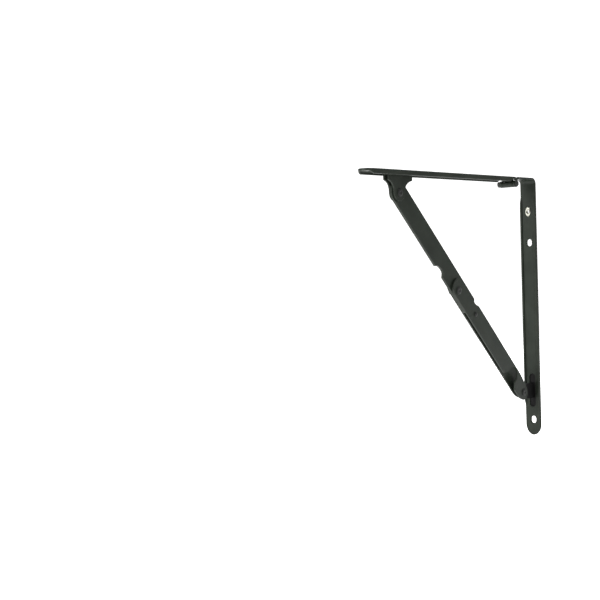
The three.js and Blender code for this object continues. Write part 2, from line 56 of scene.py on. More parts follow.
# ---- Sizes read from the frame ----
LEG_LOW, LEG_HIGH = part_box("wall_leg")
CLEVIS_LOW, CLEVIS_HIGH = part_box("arm_clevis")
HALF_WIDTH = LEG_HIGH.y
LEG_TOP = LEG_HIGH.z
LEG_BOTTOM = LEG_LOW.z
CLEVIS_TOP = CLEVIS_HIGH.z
ARM_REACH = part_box("shelf_arm")[1].x

JOINTS = {joint["name"]: joint for joint in frame["record"]["behaviour"]["joints"]}


def joint_place(name):
    """Where a joint's axis crosses the plane of X and Z."""
    x, _, z = JOINTS[name]["pos_m"]
    return Vector((x, z))


HINGE = joint_place("arm_fold")
CLEVIS = joint_place("clevis_pivot")
FOOT = joint_place("foot_pivot")


def middle(node):
    low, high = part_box(node)
    return (low + high) / 2


def middle_across(node):
    """The middle of a node in X and Z."""
    centre = middle(node)
    return Vector((centre.x, centre.z))


KNEE = middle_across("knee_rivet_near")
BUTTON = middle_across("detent_button")
EYELET_Z = middle("leg_eyelet").z
CLEVIS_RIVETS = ("clevis_rivet_1", "clevis_rivet_2")

# The brace runs ALONG the line from the clevis to the foot, and CORNER points from it to the
# corner of the bracket. The elbow is the knee brought on to that line.
ALONG = (FOOT - CLEVIS).normalized()
CORNER = Vector((ALONG.y, -ALONG.x))
ELBOW = CLEVIS + ALONG * (KNEE - CLEVIS).dot(ALONG)
LOWER_LENGTH = (FOOT - ELBOW).length

# ---- Sizes of sheet, holes and edges ----
SHEET = 2.0 * MM
THIN_SHEET = 1.6 * MM
LEG_RIM = 3.9 * MM
ARM_RIM = 4.6 * MM
LINK_FACE = 1.2 * MM
NEAR_INNER, NEAR_OUTER = 1.55 * MM, 1.55 * MM + THIN_SHEET
FAR_INNER, FAR_OUTER = -3.5 * MM, -3.5 * MM - THIN_SHEET
HEAD_GAP = 0.3 * MM
PIVOT_BORE = 2.75 * MM
# How far a cutter runs past the sheet that it cuts.
PAST = 1.0 * MM
EDGE = 0.35 * MM
STRAP_EDGE = 0.25 * MM
KNUCKLE_EDGE = 0.2 * MM


# ---- Camera, light and floor ----
CAMERA_DISTANCE = 1.0
CAMERA_AIM = Vector((0.3388, 0.0, 0.0193))
CAMERA_TURN = 47.8
CAMERA_RISE = 1.36
CAMERA_ROLL = 1.68
CAMERA_LENS = 76.3
SENSOR_WIDTH = 36.0


def level_direction():
    """The level direction from the object towards the camera."""
    turn = math.radians(CAMERA_TURN)
    return Vector((math.sin(turn), math.cos(turn), 0.0))


def make_camera():
    rise = math.radians(CAMERA_RISE)
    back = level_direction() * math.cos(rise) + Vector((0.0, 0.0, math.sin(rise)))
    data = bpy.data.cameras.new("camera")
    data.lens = CAMERA_LENS
    data.sensor_width = SENSOR_WIDTH
    camera = bpy.data.objects.new("camera", data)
    bpy.context.scene.collection.objects.link(camera)
    camera.location = CAMERA_AIM + back * CAMERA_DISTANCE
    camera.rotation_mode = "QUATERNION"
    roll = Quaternion((0.0, 0.0, 1.0), -math.radians(CAMERA_ROLL))
    camera.rotation_quaternion = (-back).to_track_quat("-Z", "Y") @ roll
    bpy.context.scene.camera = camera


WHITE = (1.0, 1.0, 1.0, 1.0)
WORLD_STRENGTH = 0.5
# Each light's name, place, size and power; all of them face a place near the bracket's middle.
LIGHT_AIM = (0.1, 0.0, 0.0)
LIGHTS = [
    ("key_light", (0.1, 0.4, 1.5), (0.9, 0.9), 14.0),
    ("side_light", (1.2, -0.25, 0.6), (0.5, 1.0), 24.0),
    ("back_light", (-0.8, -0.9, 0.9), (0.9, 0.9), 20.0),
]


def area_light(name, place, size, power):
    data = bpy.data.lights.new(name, "AREA")
    data.shape = "RECTANGLE"
    data.size, data.size_y = size
    data.energy = power
    light = bpy.data.objects.new(name, data)
    bpy.context.scene.collection.objects.link(light)
    light.location = place
    direction = Vector(LIGHT_AIM) - Vector(place)
    light.rotation_euler = direction.to_track_quat("-Z", "Y").to_euler()


def make_studio():
    world = bpy.data.worlds.new("studio")
    world.use_nodes = True
    background = world.node_tree.nodes["Background"]
    background.inputs["Color"].default_value = WHITE
    background.inputs["Strength"].default_value = WORLD_STRENGTH
    bpy.context.scene.world = world
    bpy.context.scene.view_settings.view_transform = "Standard"
    for name, place, size, power in LIGHTS:
        area_light(name, place, size, power)


FLOOR_DROP = 0.8 * MM
FLOOR_WHITE = (0.93, 0.93, 0.93, 1.0)
FLOOR_GLOW = 0.62


def make_floor():
    """A pale floor that curves up into a backdrop well behind the object."""
    reach, rise, radius, steps = 6.0, 5.0, 1.5, 12
    half_width = reach * 1.5
    floor_z = LEG_BOTTOM - FLOOR_DROP
    rows = [(-reach, 0.0)]
    for i in range(steps + 1):
        angle = math.pi / 2 * i / steps
        rows.append((reach + radius * math.sin(angle), radius * (1 - math.cos(angle))))
    rows.append((reach + radius, rise))
    mesh = bpy.data.meshes.new("floor")
    bm = bmesh.new()
    away = -level_direction()
    sideways = Vector((-away.y, away.x, 0.0))
    lines = []
    for distance, height in rows:
        centre = away * distance + Vector((0.0, 0.0, floor_z + height))
        lines.append([bm.verts.new(centre + sideways * sign * half_width) for sign in (-1, 1)])
    for first, second in zip(lines, lines[1:]):
        bm.faces.new((first[0], first[1], second[1], second[0]))
    bm.to_mesh(mesh)
    bm.free()
    for polygon in mesh.polygons:
        polygon.use_smooth = True
    floor = bpy.data.objects.new("floor", mesh)
    bpy.context.scene.collection.objects.link(floor)
    material, shader = new_material("floor_paper")
    shader.inputs["Base Color"].default_value = FLOOR_WHITE
    shader.inputs["Roughness"].default_value = 0.9
    shader.inputs["Emission Color"].default_value = WHITE
    shader.inputs["Emission Strength"].default_value = FLOOR_GLOW
    mesh.materials.append(material)


# ---- Materials ----
def new_material(name):
    material = bpy.data.materials.new(name)
    material.use_nodes = True
    return material, material.node_tree.nodes["Principled BSDF"]


def node_of(material, kind, **inputs):
    node = material.node_tree.nodes.new(kind)
    for name, value in inputs.items():
        node.inputs[name].default_value = value
    return node


def product_of(material, first, second):
    """A node that multiplies an output by another output or by a number."""
    node = material.node_tree.nodes.new("ShaderNodeMath")
    node.operation = "MULTIPLY"
    link = material.node_tree.links.new
    link(first, node.inputs[0])
    if isinstance(second, float):
        node.inputs[1].default_value = second
    else:
        link(second, node.inputs[1])
    return node


def ramp_of(material, stops):
    ramp = material.node_tree.nodes.new("ShaderNodeValToRGB")
    while len(ramp.color_ramp.elements) < len(stops):
        ramp.color_ramp.elements.new(0.5)
    for element, (place, colour) in zip(ramp.color_ramp.elements, stops):
        element.position = place
        element.color = (*colour, 1.0)
    return ramp


def add_gloss(material, shader, source, low, high):
    """Lets the roughness follow a texture between two values."""
    gloss = node_of(material, "ShaderNodeMapRange")
    gloss.inputs["To Min"].default_value = low
    gloss.inputs["To Max"].default_value = high
    link = material.node_tree.links.new
    link(source.outputs["Fac"], gloss.inputs["Value"])
    link(gloss.outputs["Result"], shader.inputs["Roughness"])


def add_bump(material, shader, source, strength, distance):
    bump = node_of(material, "ShaderNodeBump", Strength=strength, Distance=distance)
    link = material.node_tree.links.new
    link(source.outputs["Fac"], bump.inputs["Height"])
    link(bump.outputs["Normal"], shader.inputs["Normal"])


BLACK_STOP, WHITE_STOP = (0.0, 0.0, 0.0), (1.0, 1.0, 1.0)


def coated_steel(name, dark, light, wear_and_glint, roughness, grain, sheen=0.11):
    """Satin paint over steel: cloudy tone, fine orange peel, thin rubbed scuff marks; on rivets,
    painted glints too.
    """
    material, shader = new_material(name)
    tree = material.node_tree
    link = tree.links.new
    shader.inputs["Metallic"].default_value = 0.0
    shader.inputs["Specular IOR Level"].default_value = sheen
    shader.inputs["Coat Weight"].default_value = 0.03
    shader.inputs["Coat Roughness"].default_value = 0.22
    place = tree.nodes.new("ShaderNodeTexCoord")
    cloud = node_of(material, "ShaderNodeTexNoise", Scale=38.0, Detail=5.0, Roughness=0.6)
    link(place.outputs["Object"], cloud.inputs["Vector"])
    tone = ramp_of(material, [(0.34, dark), (0.68, light)])
    link(cloud.outputs["Fac"], tone.inputs["Fac"])

    stretch = node_of(material, "ShaderNodeMapping", Scale=(90.0, 1100.0, 90.0))
    stretch.inputs["Rotation"].default_value = (0.35, 0.75, 0.2)
    link(place.outputs["Object"], stretch.inputs["Vector"])
    scratch = node_of(material, "ShaderNodeTexNoise", Scale=1.0, Detail=3.0, Roughness=0.55)
    link(stretch.outputs["Vector"], scratch.inputs["Vector"])
    scuff_where = node_of(material, "ShaderNodeTexNoise", Scale=55.0, Detail=2.0)
    link(place.outputs["Object"], scuff_where.inputs["Vector"])
    scratch_line = ramp_of(material, [(0.68, BLACK_STOP), (0.74, WHITE_STOP)])
    link(scratch.outputs["Fac"], scratch_line.inputs["Fac"])
    scuff_patch = ramp_of(material, [(0.52, BLACK_STOP), (0.66, WHITE_STOP)])
    link(scuff_where.outputs["Fac"], scuff_patch.inputs["Fac"])
    scuff_and_glint_mask = product_of(material, scratch_line.outputs["Color"], scuff_patch.outputs["Color"])
    faded = product_of(material, scuff_and_glint_mask.outputs[0], 0.35)
    # A colour mix keeps its factor at input 0, its colours at 6 and 7, and its result at 2.
    mix = tree.nodes.new("ShaderNodeMix")
    mix.data_type = "RGBA"
    # The scuff colour is wear; where it is light, on the rivets, it is also painted glints.
    mix.inputs[7].default_value = (*wear_and_glint, 1.0)
    link(faded.outputs[0], mix.inputs[0])
    link(tone.outputs["Color"], mix.inputs[6])
    link(mix.outputs[2], shader.inputs["Base Color"])

    add_gloss(material, shader, cloud, roughness - 0.07, roughness + 0.09)
    peel = node_of(material, "ShaderNodeTexNoise", Scale=grain, Detail=3.0, Roughness=0.5)
    link(place.outputs["Object"], peel.inputs["Vector"])
    add_bump(material, shader, peel, 0.16, 0.2 * MM)
    return material


def zinc_plate(name):
    """Zinc plating: metallic, cloudy in tone and gloss, with a fine grain."""
    material, shader = new_material(name)
    tree = material.node_tree
    link = tree.links.new
    shader.inputs["Metallic"].default_value = 1.0
    place = tree.nodes.new("ShaderNodeTexCoord")
    cloud = node_of(material, "ShaderNodeTexNoise", Scale=420.0, Detail=4.0, Roughness=0.6)
    link(place.outputs["Object"], cloud.inputs["Vector"])
    tone = ramp_of(material, [(0.3, (0.24, 0.24, 0.2)), (0.7, (0.52, 0.52, 0.46))])
    link(cloud.outputs["Fac"], tone.inputs["Fac"])
    link(tone.outputs["Color"], shader.inputs["Base Color"])
    add_gloss(material, shader, cloud, 0.22, 0.46)
    add_bump(material, shader, cloud, 0.2, 0.1 * MM)
    return material


# ---- Mesh tools ----
def new_object(name, bm):
    bmesh.ops.recalc_face_normals(bm, faces=bm.faces)
    mesh = bpy.data.meshes.new(name)
    bm.to_mesh(mesh)
    bm.free()
    item = bpy.data.objects.new(name, mesh)
    bpy.context.scene.collection.objects.link(item)
    return item


def loft(name, sections):
    """A closed skin over sections, which are rings of points of equal count."""
    bm = bmesh.new()
    rings = [[bm.verts.new(point) for point in section] for section in sections]
    count = len(rings[0])
    for first, second in zip(rings, rings[1:]):
        for i in range(count):
            j = (i + 1) % count
            bm.faces.new((first[i], first[j], second[j], second[i]))
    bm.faces.new(rings[0])
    bm.faces.new(list(reversed(rings[-1])))
    return new_object(name, bm)


def prism(name, outline, low, high, place):
    """An outline pushed between two levels; place turns (a, b, level) into a point."""
    sections = [[place(a, b, level) for a, b in outline] for level in (low, high)]
    return loft(name, sections)


def side(a, b, level):
    """For outlines in X and Z, pushed along Y."""
    return Vector((a, level, b))


def front(a, b, level):
    """For outlines in Y and Z, pushed along X."""
    return Vector((level, a, b))


def flat(a, b, level):
    """For outlines in X and Y, pushed along Z."""
    return Vector((a, b, level))


def bake(item):
    """Settles an object's modifiers into its mesh."""
    graph = bpy.context.evaluated_depsgraph_get()
    mesh = bpy.data.meshes.new_from_object(item.evaluated_get(graph))
    old = item.data
    item.modifiers.clear()
    item.data = mesh
    bpy.data.meshes.remove(old)


def combine(item, other, operation):
    """Joins another object to an item or cuts it away, and uses it up."""
    modifier = item.modifiers.new("combine", "BOOLEAN")
    modifier.operation = operation
    modifier.solver = "EXACT"
    modifier.object = other
    bake(item)
    bpy.data.objects.remove(other, do_unlink=True)


def cut(item, cutter):
    combine(item, cutter, "DIFFERENCE")


def join(item, other):
    combine(item, other, "UNION")


def arc(centre, radius, start, finish, steps):
    """Points of an arc; angles in degrees."""
    points = []
    for i in range(steps + 1):
        angle = math.radians(start + (finish - start) * i / steps)
        a = centre[0] + radius * math.cos(angle)
        b = centre[1] + radius * math.sin(angle)
        points.append((a, b))
    return points


def circle(centre, radius, count):
    """A full circle, without its first point again at the end."""
    return arc(centre, radius, 0, 360 - 360 / count, count - 1)


def bend_point(start, bend, finish, t):
    """A place on a quadratic curve."""
    shares = ((1 - t) ** 2, 2 * t * (1 - t), t * t)
    first = sum(share * point[0] for share, point in zip(shares, (start, bend, finish)))
    second = sum(share * point[1] for share, point in zip(shares, (start, bend, finish)))
    return first, second


def curve(start, bend, finish):
    """Points of a quadratic curve, without its first."""
    return [bend_point(start, bend, finish, i / 10) for i in range(1, 11)]


def obround(x, y, width, length, along_first=False):
    """A slot's outline, long in its second direction or, if asked, in its first."""
    radius = width / 2
    half = length / 2 - radius
    points = arc((0, half), radius, 0, 180, 10) + arc((0, -half), radius, 180, 360, 10)
    if along_first:
        points = [(b, -a) for a, b in points]
    return [(x + a, y + b) for a, b in points]


def countersink(name, x, y, width, length, low, high, place):
    """A cutter for a slot whose mouth flares at its high side, at 45 degrees."""
    flare = 1.0 * MM
    levels = [
        (low - PAST, 0.0),
        (high - flare, 0.0),
        (high, flare),
        (high + PAST, flare + PAST),
    ]
    sections = []
    for level, grow in levels:
        outline = obround(x, y, width + 2 * grow, length + 2 * grow)
        sections.append([place(a, b, level) for a, b in outline])
    return loft(name, sections)


def bore(item, place):
    """Cuts a pivot's hole through every sheet of an item, across the strap."""
    reach = HALF_WIDTH + PAST
    cut(item, prism("bore", circle(place, PIVOT_BORE, 45), -reach, reach, side))


def revolve(name, profile, point, hollow=False, steps=40):
    """A turned solid; rows are (radius, level), and point(u, v, level) gives a place. A solid one
    starts and ends on its axis, and a hollow one has a closed profile off it."""
    bm = bmesh.new()
    rings = []
    for radius, level in profile:
        if radius == 0:
            rings.append([bm.verts.new(point(0.0, 0.0, level))])
            continue
        ring = []
        for i in range(steps):
            angle = 2 * math.pi * i / steps
            spot = point(radius * math.cos(angle), radius * math.sin(angle), level)
            ring.append(bm.verts.new(spot))
        rings.append(ring)
    pairs = list(zip(rings, rings[1:]))
    if hollow:
        pairs.append((rings[-1], rings[0]))
    for first, second in pairs:
        for i in range(steps):
            j = (i + 1) % steps
            if len(first) == 1:
                bm.faces.new((first[0], second[i], second[j]))
            elif len(second) == 1:
                bm.faces.new((first[i], first[j], second[0]))
            else:
                bm.faces.new((first[i], first[j], second[j], second[i]))
    return new_object(name, bm)


def across(place):
    """Turned about an axis that runs across the strap, through a place in X and Z."""
    return lambda u, v, level: Vector((place[0] + u, level, place[1] + v))


BEVEL_ABOVE = math.radians(32)
SHARP_ABOVE = math.radians(40)


def dress(item, material, body, nodes, edge=EDGE):
    """Rounds the edges, gives the finish and hands the piece to its body."""
    if edge:
        bevel = item.modifiers.new("edges", "BEVEL")
        bevel.width = edge
        bevel.segments = 3
        bevel.limit_method = "ANGLE"
        bevel.angle_limit = BEVEL_ABOVE
        bevel.harden_normals = False
        bevel.use_clamp_overlap = True
        bake(item)
    for polygon in item.data.polygons:
        polygon.use_smooth = True
    item.data.set_sharp_from_angle(angle=SHARP_ABOVE)
    normals = item.modifiers.new("normals", "WEIGHTED_NORMAL")
    normals.keep_sharp = True
    bake(item)
    item.data.materials.clear()
    item.data.materials.append(material)
    if nodes:
        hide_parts(*nodes)
    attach(item, body)


# ---- Formed strap: a flat web with a rim along each edge ----
def strap_section(centre, normal, half_width, height):
    """One closed cross-section of the strap, with rims that stand to the given height."""
    wide = HALF_WIDTH
    rise = max(height - SHEET, 0.02 * MM)
    top = SHEET + rise
    # Radii of the fold's back, of the rim's outer and inner corners, and inside the fold.
    back, crest = 0.8 * MM, 0.6 * MM
    tip, foot = min(0.6 * MM, rise * 0.45), min(1.0 * MM, rise * 0.45)
    wall = wide - SHEET
    lead, steps = 0.4 * MM, 5
    half = [(0.0, 0.0), (wide * 0.6, 0.0), (wide - back - lead, 0.0)]
    half += arc((wide - back, back), back, -90, 0, steps)
    half += arc((wide - crest, top - crest), crest, 0, 90, steps)
    half += arc((wall + tip, top - tip), tip, 90, 180, steps)
    half += arc((wall - foot, SHEET + foot), foot, 0, -90, steps)
    half += [(wall - foot - lead, SHEET), (wide * 0.4, SHEET), (0.0, SHEET)]
    squeeze = min(1.0, half_width / HALF_WIDTH)
    ring = [(y * squeeze, n) for y, n in half]
    ring += [(-y * squeeze, n) for y, n in reversed(half[1:-1])]
    return [centre + Vector((0.0, y, 0.0)) + normal * n for y, n in ring]


def rim_height(share, full):
    """The rim's height along its ramp, from the flat sheet at 0 to full height at 1."""
    share = min(max(share, 0.0), 1.0)
    return SHEET + (full - SHEET) * share * share * (3 - 2 * share)


def tip_width(distance, reach):
    """Half the width at a distance from the end of an elliptical tip."""
    share = 1 - distance / reach
    return HALF_WIDTH * math.sqrt(max(1 - share * share, 0.0004))


def tip_rows(reach):
    """Distances from the end of a tip, closest together at the end."""
    steps, inset = 9, 0.03 * MM
    return [reach * (1 - math.cos(math.pi / 2 * i / steps)) + inset for i in range(steps)]


def strap_stops(start, finish, rims_from, rims_to):
    """Places along a strap: every 6 mm, or every 1 mm where the rims are rising."""
    stops, place = [], start
    while place < finish:
        stops.append(place)
        place += (1.0 if place < rims_from or place > rims_to else 6.0) * MM
    return stops


# ---- Studio and finishes ----
make_camera()
make_studio()
make_floor()

PAINT = coated_steel("satin_paint", (0.0095, 0.0125, 0.009), (0.0165, 0.0205, 0.0155),
                     (0.03, 0.033, 0.029), 0.42, 900.0)
# The lug and its pad get a darker copy of the paint: painted shade, where they stand in shadow.
PAINTED_SHADE = coated_steel("painted_shade_paint", (0.004, 0.004, 0.004), (0.008, 0.008, 0.008),
                     (0.05, 0.05, 0.05), 0.7, 900.0, sheen=0.08)
# The rivets' light scuff colour is partly wear and partly painted glints.
RIVET = coated_steel("rivet_coat", (0.012, 0.013, 0.012), (0.022, 0.023, 0.022),
                     (0.25, 0.25, 0.24), 0.38, 1400.0)
ZINC = zinc_plate("zinc")


# ---- Rolled knuckles at the hinge ----
KNUCKLE_RADIUS = 3.4 * MM
KNUCKLE_BORE = 1.8 * MM
ARM_KNUCKLE = 5.4 * MM
LEG_KNUCKLE = 5.8 * MM


def rolled_knuckle(name, start, towards, low, high):
    """The end of a sheet curled down round the hinge pin; towards is +1 if it runs along +X."""
    top, under = LEG_TOP - 0.05 * MM, LEG_TOP - SHEET
    finish = 90 - towards * 302
    outside = arc(HINGE, KNUCKLE_RADIUS - 0.05 * MM, 90, finish, 30)
    inside = arc(HINGE, KNUCKLE_BORE, 90, finish + towards * 8, 30)
    outline = [(start, top), (HINGE.x - towards * 3.4 * MM, top)]
    outline += [(HINGE.x - towards * 1.4 * MM, LEG_TOP - 1.1 * MM)]
    outline += outside + list(reversed(inside))
    outline += [(HINGE.x - towards * 2.3 * MM, HINGE.y + 3.0 * MM)]
    outline += [(HINGE.x - towards * 3.5 * MM, under), (start, under)]
    return prism(name, outline, low, high, side)


# ---- Wall leg ----
LEG_BEND = 6 * MM
LEG_TIP = 11 * MM
LEG_RAMP = 9 * MM
LEG_RIMS_FROM = LEG_BOTTOM + 27 * MM
LEG_RIMS_TO = LEG_TOP - 17 * MM
FLANGE_END = HINGE.x - KNUCKLE_RADIUS - 1.2 * MM
SCREW_DROPS = (63 * MM, 237 * MM)
SCREW_SLOT = (5.2 * MM, 7 * MM)
LUG_SLOT = (6.6 * MM, 33 * MM)
EYELET_HOLE = 2.2 * MM
EYELET_STRETCH = 1.6


def make_leg():
    rows = [(LEG_BOTTOM + d, tip_width(d, LEG_TIP)) for d in tip_rows(LEG_TIP)]
    stops = strap_stops(LEG_BOTTOM + LEG_TIP, LEG_TOP - LEG_BEND,
                        LEG_RIMS_FROM + LEG_RAMP, LEG_RIMS_TO - LEG_RAMP)
    rows += [(z, HALF_WIDTH) for z in stops]
    out, down = Vector((1, 0, 0)), Vector((0, 0, -1))
    sections = []
    for z, half in rows:
        share = min(z - LEG_RIMS_FROM, LEG_RIMS_TO - z) / LEG_RAMP
        height = rim_height(share, LEG_RIM)
        sections.append(strap_section(Vector((0, 0, z)), out, half, height))
    centre = Vector((LEG_BEND, 0.0, LEG_TOP - LEG_BEND))
    for i in range(13):
        angle = math.pi / 2 * i / 12
        outwards = Vector((-math.cos(angle), 0, math.sin(angle)))
        place = centre + outwards * LEG_BEND
        sections.append(strap_section(place, -outwards, HALF_WIDTH, SHEET))
    for share in (0.5, 1.0):
        x = LEG_BEND + (FLANGE_END - LEG_BEND) * share
        sections.append(strap_section(Vector((x, 0, LEG_TOP)), down, HALF_WIDTH, SHEET))
    leg = loft("wall_leg_formed", sections)
    for drop in SCREW_DROPS:
        cut(leg, countersink("slot", 0, LEG_TOP - drop, *SCREW_SLOT, 0.0, SHEET, front))
    hole = [(a, EYELET_Z + b * EYELET_STRETCH) for a, b in circle((0, 0), EYELET_HOLE, 30)]
    slot = obround(0, FOOT.y, *LUG_SLOT)
    for outline in (hole, slot):
        cut(leg, prism("hole", outline, -PAST, SHEET + PAST, front))
    dress(leg, PAINT, "leg", ["wall_leg"], edge=STRAP_EDGE)
    for name, sign in (("leg_knuckle_1", -1), ("leg_knuckle_3", 1)):
        start = FLANGE_END - 0.2 * MM
        knuckle = rolled_knuckle(name, start, 1, LEG_KNUCKLE * sign, HALF_WIDTH * sign)
        dress(knuckle, PAINT, "leg", [], edge=KNUCKLE_EDGE)


def make_eyelet():
    """A rolled eyelet, closed round its wall, with its lip on the front of the leg."""
    face = SHEET + HEAD_GAP
    bore_radius, wall_radius, tail = 1.12 * MM, 1.85 * MM, 0.25 * MM
    profile = [
        (bore_radius, tail),
        (wall_radius, tail),
        (wall_radius, face),
        (2.75 * MM, face),
        (2.88 * MM, face + 0.25 * MM),
        (2.7 * MM, face + 0.55 * MM),
        (2.2 * MM, face + 0.85 * MM),
        (1.7 * MM, face + 0.72 * MM),
        (1.3 * MM, face + 0.3 * MM),
        (bore_radius, face - 0.4 * MM),
    ]

    def place(u, v, level):
        return Vector((level, u, EYELET_Z + v * EYELET_STRETCH))

    eyelet = revolve("leg_eyelet_rolled", profile, place, hollow=True, steps=48)
    dress(eyelet, ZINC, "leg", ["leg_eyelet"], edge=0)


def make_hinge_pin():
    """A pin with a crowned head at each end."""
    low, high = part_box("hinge_pin")
    radius, shank = (high.x - low.x) / 2 - 0.03 * MM, 1.45 * MM
    face = HALF_WIDTH + HEAD_GAP
    # Each row is how far in from the head's radius, and how far in from the pin's end.
    crown = [(radius, 0.02 * MM), (1.0 * MM, 0.06 * MM), (0.3 * MM, 0.3 * MM), (0.0, 0.7 * MM)]
    profile = [(radius - inset, low.y + depth) for inset, depth in crown]
    profile += [(radius, -face), (shank, -face), (shank, face), (radius, face)]
    profile += [(radius - inset, high.y - depth) for inset, depth in reversed(crown)]
    pin = revolve("hinge_pin_headed", profile, across(HINGE))
    dress(pin, RIVET, "leg", ["hinge_pin"], edge=0)


# ---- Shelf arm ----
ARM_START = HINGE.x + 0.9 * MM
ARM_TIP = 9 * MM
ARM_RAMP = 5 * MM
ARM_RIMS_FROM = HINGE.x + 4.2 * MM
ARM_RIMS_TO = ARM_REACH - 2.5 * MM
BOARD_HOLES = (66 * MM, 120 * MM, 168 * MM, 243 * MM)
BOARD_SLOT = (5.4 * MM, 9 * MM)
RIVET_HEAD_HOLE = 1.9 * MM
RIVET_HOLE = 1.2 * MM


def make_arm():
    stops = strap_stops(ARM_START, ARM_REACH - ARM_TIP,
                        ARM_RIMS_FROM + ARM_RAMP, ARM_RIMS_TO - ARM_RAMP - 3 * MM)
    rows = [(x, HALF_WIDTH) for x in stops]
    rows += [(ARM_REACH - d, tip_width(d, ARM_TIP)) for d in reversed(tip_rows(ARM_TIP))]
    down = Vector((0, 0, -1))
    sections = []
    for x, half in rows:
        share = min(x - ARM_RIMS_FROM, ARM_RIMS_TO - x) / ARM_RAMP
        height = rim_height(share, ARM_RIM)
        sections.append(strap_section(Vector((x, 0, LEG_TOP)), down, half, height))
    arm = loft("shelf_arm_formed", sections)
    holes = [obround(x, 0, *BOARD_SLOT, along_first=True) for x in BOARD_HOLES]
    holes += [circle((middle(name).x, 0), RIVET_HEAD_HOLE, 30) for name in CLEVIS_RIVETS]
    for outline in holes:
        cut(arm, prism("hole", outline, LEG_TOP - SHEET - 2 * PAST, LEG_TOP + PAST, flat))
    dress(arm, PAINT, "arm", ["shelf_arm"], edge=STRAP_EDGE)
    start = ARM_START + 3.4 * MM
    knuckle = rolled_knuckle("arm_knuckle", start, -1, -ARM_KNUCKLE, ARM_KNUCKLE)
    dress(knuckle, PAINT, "arm", [], edge=KNUCKLE_EDGE)


# ---- Clevis under the arm ----
CLEVIS_NECK = 7.4 * MM
CLEVIS_SHOULDER = 6.6 * MM


def make_clevis():
    neck, nick = CLEVIS_NECK, 0.6 * MM
    shoulder = CLEVIS_TOP - CLEVIS_SHOULDER
    waist = shoulder - 2 * MM
    left, right = CLEVIS_LOW.x, CLEVIS_HIGH.x
    inner_left, inner_right = CLEVIS.x - neck, CLEVIS.x + neck
    outline = [(left, CLEVIS_TOP), (left, shoulder + nick), (left + nick, shoulder)]
    outline += curve((left + nick, shoulder), (inner_left, waist), (inner_left, CLEVIS.y))
    outline += arc(CLEVIS, neck, 180, 360, 24)[1:]
    outline += curve((inner_right, CLEVIS.y), (inner_right, waist), (right - nick, shoulder))
    outline += [(right, shoulder + nick), (right, CLEVIS_TOP)]
    clevis = prism("arm_clevis_folded", outline, -NEAR_OUTER, NEAR_OUTER, side)
    left, right = left - PAST, right + PAST
    under, over = CLEVIS_LOW.z - PAST, CLEVIS_TOP - THIN_SHEET
    inside = [(left, under), (right, under), (right, over), (left, over)]
    cut(clevis, prism("channel", inside, -NEAR_INNER, NEAR_INNER, side))
    bore(clevis, CLEVIS)
    for name in CLEVIS_RIVETS:
        ring = circle((middle(name).x, 0), RIVET_HOLE, 24)
        cut(clevis, prism("hole", ring, CLEVIS_TOP - 3 * MM, CLEVIS_TOP + PAST, flat))
    dress(clevis, PAINT, "arm", ["arm_clevis"], edge=0.22 * MM)


def make_clevis_rivets():
    """Rivets with a low head under the clevis and a flush one in the arm."""
    under = CLEVIS_TOP - THIN_SHEET - HEAD_GAP
    for name in CLEVIS_RIVETS:
        centre = middle(name).x
        profile = [
            (0.0, under - 0.58 * MM),
            (0.8 * MM, under - 0.5 * MM),
            (1.08 * MM, under - 0.15 * MM),
            (1.08 * MM, under),
            (0.88 * MM, under),
            (0.88 * MM, LEG_TOP - SHEET),
            (1.55 * MM, LEG_TOP - SHEET + 0.25 * MM),
            (1.55 * MM, LEG_TOP - 0.2 * MM),
            (1.4 * MM, LEG_TOP - 0.12 * MM),
            (0.0, LEG_TOP - 0.11 * MM),
        ]

        def place(u, v, level, x=centre):
            return Vector((x + u, v, level))

        rivet = revolve(name + "_set", profile, place, steps=28)
        dress(rivet, RIVET, "arm", [name], edge=0)


# ---- Brace ----
def on_brace(pivot, s, n):
    """A place s down the brace from a pivot, and n towards the corner of the bracket."""
    return pivot + ALONG * s + CORNER * n


def points_on(pivot, pairs):
    return [tuple(on_brace(pivot, s, n)) for s, n in pairs]


def blunt(corners):
    """Rounds the corners of an outline on the brace; rows are (s, n, radius) from the elbow."""
    points = [on_brace(ELBOW, s, n) for s, n, _ in corners]
    result = []
    for i, here in enumerate(points):
        before, after = points[i - 1] - here, points[(i + 1) % len(points)] - here
        radius = min(corners[i][2], before.length * 0.45, after.length * 0.45)
        if radius <= 0:
            result.append(tuple(here))
            continue
        first = here + before.normalized() * radius
        last = here + after.normalized() * radius
        result += [bend_point(first, here, last, k / 5) for k in range(6)]
    return result


LINK_OUTER = 8.5 * MM
LINK_CORNER = 11.2 * MM
TAIL = 27 * MM
NOTCH_FROM, NOTCH_TO, NOTCH_DEPTH = 39 * MM, 23 * MM, 4.4 * MM


